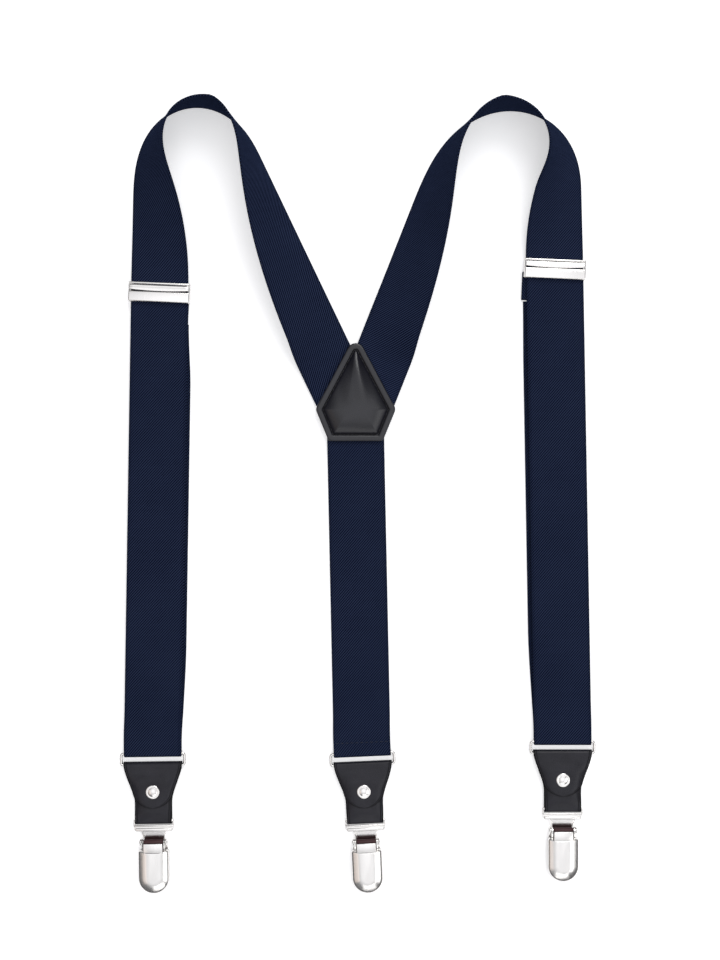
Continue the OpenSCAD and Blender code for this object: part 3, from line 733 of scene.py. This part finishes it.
def tab_rivet(end):
    """Cap rivet: rolled rim, shallow step and a domed middle, with a flat tail behind."""
    top = TAB_LAYERS[2] + LEATHER_T / 2 + 0.42 * TAB_BULGE
    profile = ((0, 1.45), (1.3, 1.38), (2.3, 1.12), (2.75, 0.92), (2.95, 0.86), (3.2, 0.95),
               (3.6, 1.0), (4.05, 0.9), (4.4, 0.6), (4.5, 0.3), (4.4, 0.05), (1.5, 0.0))
    tail_profile = ((1.5, 0.6), (3.7, 0.5), (3.8, 0.2), (3.6, 0.03), (0, 0.03))
    bm = bmesh.new()
    head = [bm.verts.new((r * MM, 0, top + z * MM)) for r, z in profile]
    tail = [bm.verts.new((r * MM, 0, z * MM)) for r, z in tail_profile]
    verts = head + tail
    edges = [bm.edges.new(pair) for pair in zip(verts, verts[1:])]
    bmesh.ops.spin(bm, geom=verts + edges, cent=(0, 0, 0), axis=(0, 0, 1), angle=2 * pi, steps=40,
                   use_merge=True)
    bmesh.ops.remove_doubles(bm, verts=bm.verts, dist=1e-6)
    bmesh.ops.recalc_face_normals(bm, faces=bm.faces)
    made = piece(end + "_cap_rivet", bm, NICKEL, end + "_tab",
                 at=END_AT[end] @ Matrix.Translation((0, RIVET_Y, 0)), sharp=50)
    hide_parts(end + "_rivet")
    return made


# ---------------------------------------------------------------- clips

def rounded_box(bm, low, high, rounding, segments=3):
    """A box between two corners with rounded edges."""
    low, high = Vector(low), Vector(high)
    made = bmesh.ops.create_cube(bm, size=1, matrix=Matrix.Translation((low + high) / 2)
                                 @ Matrix.Diagonal((*(high - low), 1)))
    edges = list({e for v in made["verts"] for e in v.link_edges})
    bmesh.ops.bevel(bm, geom=edges, offset=rounding, offset_type="OFFSET", segments=segments,
                    affect="EDGES", profile=0.5, material=-1)


def disc(bm, centre, r, length, sides=32):
    """A plain disc or bar along X; gives its vertices."""
    turned = Matrix.Translation(centre) @ Matrix.Rotation(pi / 2, 4, "Y")
    return bmesh.ops.create_cone(bm, cap_ends=True, segments=sides, radius1=r, radius2=r, depth=length,
                                 matrix=turned)["verts"]


def round_rims(bm, verts, sides, offset, segments):
    """Rounds the two rims of a disc."""
    rims = [e for e in {e for v in verts for e in v.link_edges}
            if any(len(f.verts) == sides for f in e.link_faces)]
    bmesh.ops.bevel(bm, geom=rims, offset=offset, offset_type="OFFSET", segments=segments, affect="EDGES",
                    profile=0.5, material=-1)


def rod(bm, centre, r, length, ends, sides=24):
    """A rod along X with rounded ends."""
    round_rims(bm, disc(bm, centre, r, length, sides), sides, ends, 3)


def clip_base(end):
    """Stamped base: loop, band, neck, bed under the lid and two ears."""
    half_band, half_neck, half_bed = 12.3 * MM, NECK_W / 2, 8.2 * MM
    band_top, band_low, neck_low, bed_end = -2.6 * MM, -6.4 * MM, -10.4 * MM, -CLIP_LEN + 1.5 * MM
    z_band, z_neck, z_bed, foot = LOOP_Z, 1.6 * MM, SHEET_T / 2, -12 * MM
    points = joined(line((band_top, z_band), (band_low, z_band), (neck_low, z_neck), (foot, z_bed),
                         (bed_end + half_bed, z_bed)),
                    [(bed_end + half_bed * (1 - sin(radians(a))), z_bed)
                     for a in (15, 30, 45, 58, 70, 80, 87)])

    def half_width(y, share):
        if y > band_low + 2.2 * MM:
            return half_band
        if y > band_low:
            fall = (band_low + 2.2 * MM - y) / (2.2 * MM)
            return half_band - 2.2 * MM * (1 - sqrt(max(1 - fall ** 2, 0)))
        if y > neck_low:
            return half_neck + 1.2 * MM * smooth((y - neck_low) / (band_low - neck_low))
        if y > bed_end + half_bed:
            return half_neck + (half_bed - half_neck) * smooth((foot - y) / (1.0 * MM))
        return sqrt(max(half_bed ** 2 - (bed_end + half_bed - y) ** 2, 0))

    dense = [points[0]]
    for (y0, z0), (y1, z1) in zip(points, points[1:]):
        n = max(1, ceil(hypot(y1 - y0, z1 - z0) / (0.45 * MM))) if y0 > foot else 1
        dense += [(y0 + (y1 - y0) * i / n, z0 + (z1 - z0) * i / n) for i in range(1, n + 1)]
    made = piece(end + "_clip_base_metal", strip(dense, half_width, across=12), NICKEL,
                 end + "_clip", at=CLIP_AT[end], sharp=50)
    thicken(made, SHEET_T, 0.22 * MM, 3)
    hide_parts(end + "_clip_base")

    bm = bmesh.new()
    rod(bm, (0, 0, LOOP_Z), 0.8 * MM, 24.4 * MM, 0.3 * MM)
    under = LOOP_Z - 0.4 * MM
    rounded_box(bm, (-12.2 * MM, -3.7 * MM, under), (12.2 * MM, -2.5 * MM, LOOP_Z + 0.75 * MM), 0.45 * MM)
    rounded_box(bm, (-11.2 * MM, -6.5 * MM, under), (11.2 * MM, -4.5 * MM, LOOP_Z + 0.85 * MM), 0.5 * MM)
    for x in (-1, 1):
        rounded_box(bm, (x * 11.9 * MM - 0.5 * MM, -3.2 * MM, LOOP_Z - 0.55 * MM),
                    (x * 11.9 * MM + 0.5 * MM, 0.5 * MM, LOOP_Z + 0.55 * MM), 0.3 * MM)
        ear = disc(bm, (x * 7.8 * MM, EAR_Y, EAR_Z), EAR_R, SHEET_T)
        for v in ear:
            if v.co.z < EAR_Z:
                v.co.z -= (EAR_Z - v.co.z) / EAR_R * (EAR_Z - EAR_R - 0.3 * MM)
        round_rims(bm, ear, 32, 0.2 * MM, 2)
    ears = piece(end + "_clip_ears", bm, NICKEL, end + "_clip", at=CLIP_AT[end], sharp=50)
    pin = bmesh.new()
    rod(pin, (0, EAR_Y, EAR_Z), 0.7 * MM, 17.4 * MM, 0.3 * MM)
    steel = piece(end + "_clip_pin_steel", pin, PIN_STEEL, end + "_clip", at=CLIP_AT[end],
                  sharp=50)
    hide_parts(end + "_clip_pin")
    return made, ears


def clip_pad(end):
    """Ridged pad in the jaw, whose lining runs back to a sleeve round the pin."""
    bm = bmesh.new()
    rounded_box(bm, (-6.3 * MM, -CLIP_LEN + 4 * MM, 0.85 * MM), (6.3 * MM, -19.7 * MM, 2.2 * MM), 0.25 * MM)
    rounded_box(bm, (-6.1 * MM, -CLIP_LEN + 5 * MM, 0.85 * MM), (6.1 * MM, -12.1 * MM, 1.55 * MM), 0.2 * MM)
    rounded_box(bm, (-6.1 * MM, -13.4 * MM, 0.85 * MM), (6.1 * MM, -12.1 * MM, 5 * MM), 0.2 * MM)
    rod(bm, (0, EAR_Y, EAR_Z), 1.5 * MM, 12.2 * MM, 0.9 * MM, 32)
    for i in range(6):
        y = -CLIP_LEN + (5 + 3 * i) * MM
        rounded_box(bm, (-6.2 * MM, y, 1.6 * MM), (6.2 * MM, y + 1.7 * MM, 3.05 * MM), 0.4 * MM)
    made = piece(end + "_grip_pad", bm, PAD, end + "_clip", at=CLIP_AT[end], sharp=50)
    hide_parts(end + "_clip_pad")
    return made


def lid_ring(inset, drop):
    """Points round the lid, moved in by inset at its sides and mouth and by drop at its shoulders."""
    half, corner = LID_W / 2 - inset, max(1.3 * MM - 0.3 * inset, 0.3 * MM)
    mouth_y, top = -CLIP_LEN + LID_W / 2, -17.3 * MM - drop
    arc_r = [radians(a) for a in range(0, 91, 18)]
    left = [Vector((corner - half - corner * sin(a), top - corner * (1 - cos(a)))) for a in arc_r]
    left += [Vector((-half, top - corner + (mouth_y - top + corner) * i / 8)) for i in range(1, 8)]
    across = [Vector((half - corner - 2 * (half - corner) * i / 8, top)) for i in range(1, 8)]
    mouth = [Vector((-half * cos(radians(a)), mouth_y - half * sin(radians(a)))) for a in range(0, 181, 6)]
    return left + mouth + [Vector((-p.x, p.y)) for p in reversed(left)] + across


# Section of the lid: how far in at its sides, how far in at its shoulders, and its height
LID_SECTION = ((0.0, 0.0, 2.3), (0.0, 0.0, 4.9), (0.04, 0.03, 5.35), (0.16, 0.12, 5.75),
               (0.42, 0.3, 6.1), (0.85, 0.45, 6.4), (1.5, 0.6, 6.68), (2.3, 0.8, 6.98),
               (3.1, 0.95, 7.26), (3.9, 1.1, 7.5), (4.7, 1.25, 7.68), (5.4, 1.4, 7.78),
               (6.1, 1.6, 7.83), (6.9, 1.8, 7.85))


def clip_lid(end):
    """Domed lid: a flat middle with sloped facets round it, and a narrow neck that runs to the pin."""
    bm = bmesh.new()
    ringed_shell(bm, [(lid_ring(d * MM, drop * MM), z * MM) for d, drop, z in LID_SECTION])
    made = piece(end + "_clip_lid_metal", bm, NICKEL, end + "_lid", at=CLIP_AT[end], sharp=40)
    wall = made.modifiers.new("thickness", "SOLIDIFY")
    wall.thickness = 0.6 * MM
    wall.offset = -1
    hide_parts(end + "_clip_lid")

    bm = bmesh.new()
    rounded_box(bm, (-5.9 * MM, -19.2 * MM, 6.7 * MM), (5.9 * MM, -12.9 * MM, 7.5 * MM), 0.35 * MM)
    for x in (-1, 1):
        for v in disc(bm, (x * 6.8 * MM, EAR_Y, EAR_Z), EAR_R, SHEET_T):
            if v.co.y < EAR_Y:
                v.co.y -= (EAR_Y - v.co.y) / EAR_R * 3.4 * MM
                v.co.z += 0.4 * MM
    rounded_box(bm, (-6.5 * MM, -CLIP_LEN + 6.2 * MM, 3.35 * MM),
                (6.5 * MM, -CLIP_LEN + 7.4 * MM, 6.8 * MM), 0.3 * MM)
    piece(end + "_clip_lid_lugs", bm, NICKEL, end + "_lid", at=CLIP_AT[end], sharp=50)
    return made


# ---------------------------------------------------------------- adjusters

def adjuster_frame(side):
    """Stamped frame: thin top rim, side rails and a rolled front bar."""
    at = ADJUSTER_AT[side]
    half, top, low = ADJUSTER_W / 2, ADJUSTER_H / 2, -ADJUSTER_H / 2
    bm = bmesh.new()
    rounded_box(bm, (-half + 0.1 * MM, low, 4.9 * MM), (half - 0.1 * MM, 0.32 * MM, 7.4 * MM), 0.8 * MM, 5)
    rounded_box(bm, (-half, top - 1.3 * MM, 4.5 * MM), (half, top, 5.4 * MM), 0.4 * MM)
    for x in (-1, 1):
        rounded_box(bm, (x * (half - 0.35 * MM) - 0.35 * MM, low + 0.4 * MM, 1.3 * MM),
                    (x * (half - 0.35 * MM) + 0.35 * MM, top - 0.1 * MM, 6.2 * MM), 0.3 * MM)
    rounded_box(bm, (-half, low + 0.2 * MM, 1.3 * MM), (half, low + 2.8 * MM, 1.9 * MM), 0.2 * MM)
    made = piece(side + "_adjuster_frame_metal", bm, NICKEL, side + "_adjuster", at=at, sharp=50)
    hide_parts(side + "_adjuster_frame")
    pin = bmesh.new()
    rod(pin, (0, LEVER_Y, LEVER_Z), 0.6 * MM, ADJUSTER_W - 0.1 * MM, 0.2 * MM)
    steel = piece(side + "_adjuster_pin_steel", pin, PIN_STEEL, side + "_adjuster", at=at,
                  sharp=50)
    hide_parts(side + "_adjuster_pin")
    return made


def adjuster_lever(side):
    """Convex lever whose lower edge bows, rolled round the pin at the top."""
    points = joined(arc(LEVER_Y, LEVER_Z, LEVER_ROLL_R, -70, 90, 9),
                    arc(1.6 * MM, LEVER_Z - 7.9 * MM, 9.0 * MM, 80, 97, 9))

    def bowed(x, y, z, s):
        bow = (1 - (2 * x / ADJUSTER_W) ** 2) * LEVER_BOW
        return Vector((x, y + (0.75 * MM - bow) * smooth((3 * MM - y) / (2.4 * MM)), z))

    made = piece(side + "_adjuster_lever_metal", strip(points, LEVER_W / 2, across=16, place=bowed), NICKEL,
                 side + "_lever", at=ADJUSTER_AT[side], sharp=60)
    thicken(made, 0.8 * MM, 0.25 * MM, 3)
    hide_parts(side + "_adjuster_lever")
    return made


# ---------------------------------------------------------------- set

def studio():
    """Pale floor, soft light from above and both sides, and the camera straight above."""
    bm = bmesh.new()
    bmesh.ops.create_grid(bm, x_segments=1, y_segments=1, size=3.0)
    bmesh.ops.translate(bm, verts=bm.verts, vec=(0, 0, -0.15 * MM))
    mesh = bpy.data.meshes.new("floor")
    bm.to_mesh(mesh)
    bm.free()
    mesh.materials.append(FLOOR)
    floor = bpy.data.objects.new("floor", mesh)
    bpy.context.scene.collection.objects.link(floor)

    def softbox(name, place, size, watts, colour=(1, 1, 1)):
        light = bpy.data.lights.new(name, "AREA")
        light.shape = "RECTANGLE"
        light.size, light.size_y = size
        light.energy = watts
        light.color = colour
        lamp = bpy.data.objects.new(name, light)
        lamp.location = place
        lamp.rotation_euler = (-Vector(place)).to_track_quat("-Z", "Y").to_euler()
        bpy.context.scene.collection.objects.link(lamp)

    softbox("key_light", (0.5, 1.4, 1.6), (1.1, 1.1), 16)
    softbox("right_light", (1.45, -0.6, 1.75), (1.6, 0.9), 6.5)
    softbox("left_light", (-1.45, -0.6, 1.75), (1.6, 0.9), 2.1, (1.0, 0.82, 0.70))
    softbox("near_light", (0.2, -1.5, 1.3), (1.2, 0.8), 4)

    # A room that is bright overhead and darker round its sides
    world = bpy.data.worlds.new("soft_room")
    bpy.context.scene.world = world
    world.use_nodes = True
    tree = world.node_tree
    background = tree.nodes["Background"]
    background.inputs[0].default_value = (0.965, 0.972, 1.0, 1)
    direction = tree.nodes.new("ShaderNodeTexCoord")
    parts = tree.nodes.new("ShaderNodeSeparateXYZ")
    falloff = tree.nodes.new("ShaderNodeMath")
    falloff.operation = "POWER"
    falloff.use_clamp = True
    falloff.inputs[1].default_value = ROOM_FALLOFF
    glow = tree.nodes.new("ShaderNodeMapRange")
    for key, value in ((1, 0.0), (2, 1.0), (3, ROOM_SIDES), (4, ROOM_OVERHEAD)):
        glow.inputs[key].default_value = value
    tree.links.new(direction.outputs["Generated"], parts.inputs[0])
    tree.links.new(parts.outputs[2], falloff.inputs[0])
    tree.links.new(falloff.outputs[0], glow.inputs[0])
    tree.links.new(glow.outputs[0], background.inputs[1])

    camera = bpy.data.cameras.new("camera")
    camera.sensor_width = 36
    camera.lens = CAMERA_LENS
    camera.clip_start = 0.01
    view = bpy.data.objects.new("camera", camera)
    view.location = CAMERA_AT
    bpy.context.scene.collection.objects.link(view)
    bpy.context.scene.camera = view
    bpy.context.scene.view_settings.view_transform = "Standard"


studio()
for side in SIDES:
    shoulder_strap(side)
    front_strap(side)
    return_strap(side)
    strap_hem(side)
    adjuster_frame(side)
    adjuster_lever(side)
back_strap()
leather_patch()
frame["nodes"]["patch_back"].data.materials.clear()
frame["nodes"]["patch_back"].data.materials.append(PATCH_LEATHER)
for end in ENDS:
    ring = frame["nodes"][end + "_ring"]
    ring.data.materials.clear()
    ring.data.materials.append(NICKEL)
    leather_tab(end)
    tab_rivet(end)
    clip_base(end)
    clip_pad(end)
    clip_lid(end)
